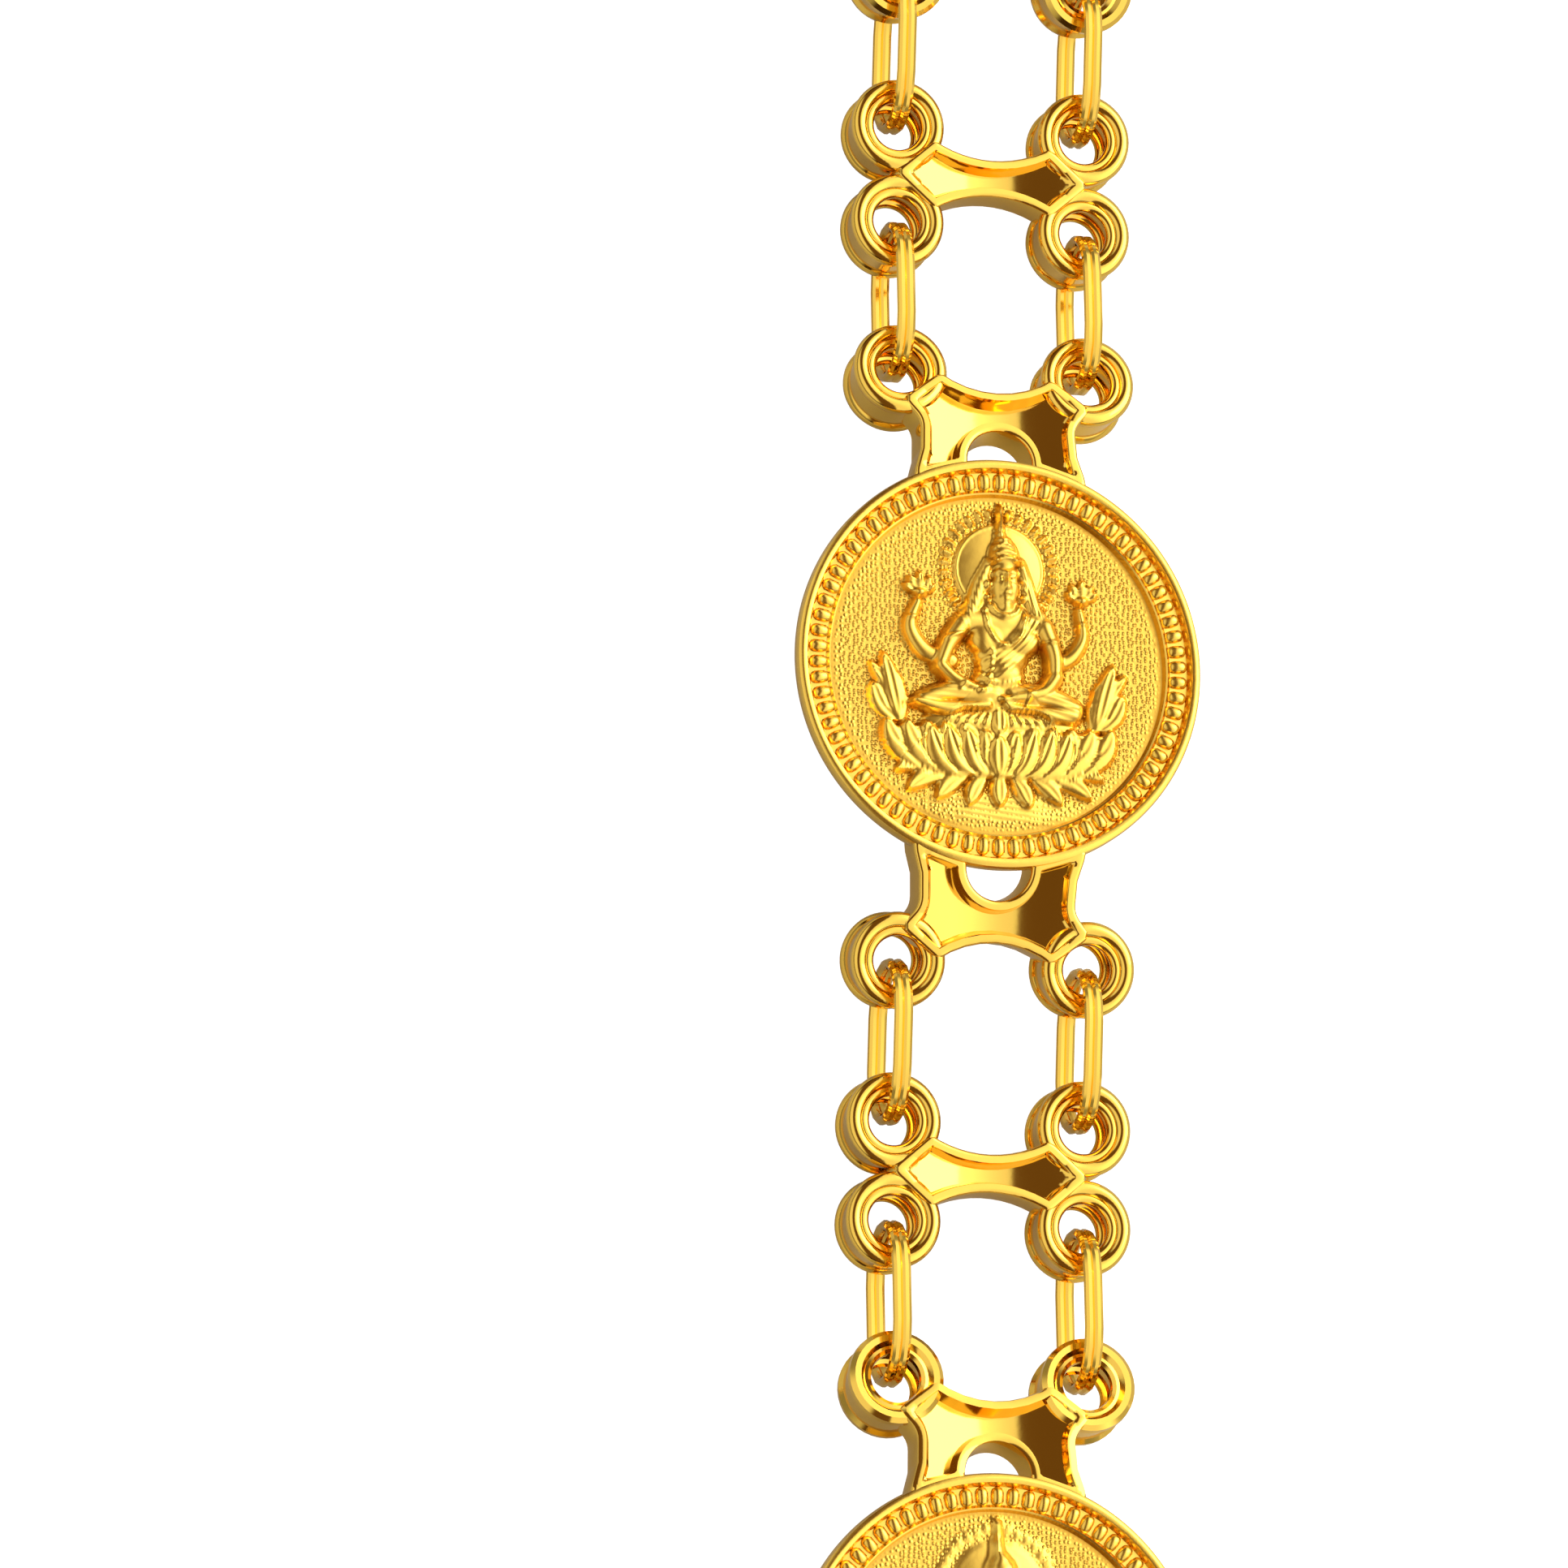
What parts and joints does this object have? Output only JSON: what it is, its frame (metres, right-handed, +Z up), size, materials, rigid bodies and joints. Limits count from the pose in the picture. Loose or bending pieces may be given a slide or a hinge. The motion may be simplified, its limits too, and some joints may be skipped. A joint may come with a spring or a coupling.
{
  "type": "medallion chain necklace",
  "caption": "Long necklace of round raised-figure medallions and bow-tie spacers joined by two rows of oval double-wire links, lying face up in a closed loop.",
  "frame": {"origin": "middle of the loop, on the surface that it lies on", "axes": "+Z up out of the medallions' faces, +Y along the straight sides towards the clasp end, +X to the right-hand straight side"},
  "size_m": [0.1298, 0.2886, 0.0039],
  "materials": {
    "cast_gold": "cast yellow gold, satin relief with a stippled field and bright edges",
    "polished_gold": "mirror polished yellow gold"
  },
  "bodies": {
    "root": {"lakshmi_medallion_01": "cast_gold", "lakshmi_medallion_02": "cast_gold", "lakshmi_medallion_03": "cast_gold", "lakshmi_medallion_04": "cast_gold", "lakshmi_medallion_05": "cast_gold", "ganesha_medallion": "cast_gold", "lakshmi_medallion_06": "cast_gold", "lakshmi_medallion_07": "cast_gold", "lakshmi_medallion_08": "cast_gold", "lakshmi_medallion_09": "cast_gold", "lakshmi_medallion_10": "cast_gold", "lakshmi_medallion_11": "cast_gold", "lakshmi_medallion_12": "cast_gold", "lakshmi_medallion_13": "cast_gold", "lakshmi_medallion_14": "cast_gold", "lakshmi_medallion_15": "cast_gold", "lakshmi_medallion_16": "cast_gold", "lakshmi_medallion_17": "cast_gold", "lakshmi_medallion_18": "cast_gold", "lakshmi_medallion_19": "cast_gold", "lakshmi_medallion_20": "cast_gold", "lakshmi_medallion_21": "cast_gold", "spacer_01": "polished_gold", "spacer_02": "polished_gold", "spacer_03": "polished_gold", "spacer_04": "polished_gold", "spacer_05": "polished_gold", "spacer_06": "polished_gold", "spacer_07": "polished_gold", "spacer_08": "polished_gold", "clasp": "polished_gold", "spacer_09": "polished_gold", "spacer_10": "polished_gold", "spacer_11": "polished_gold", "spacer_12": "polished_gold", "spacer_13": "polished_gold", "spacer_14": "polished_gold", "spacer_15": "polished_gold", "spacer_16": "polished_gold", "spacer_17": "polished_gold", "spacer_18": "polished_gold", "spacer_19": "polished_gold", "spacer_20": "polished_gold", "spacer_21": "polished_gold", "links_outer": "polished_gold", "links_inner": "polished_gold"}
  },
  "joints": []
}
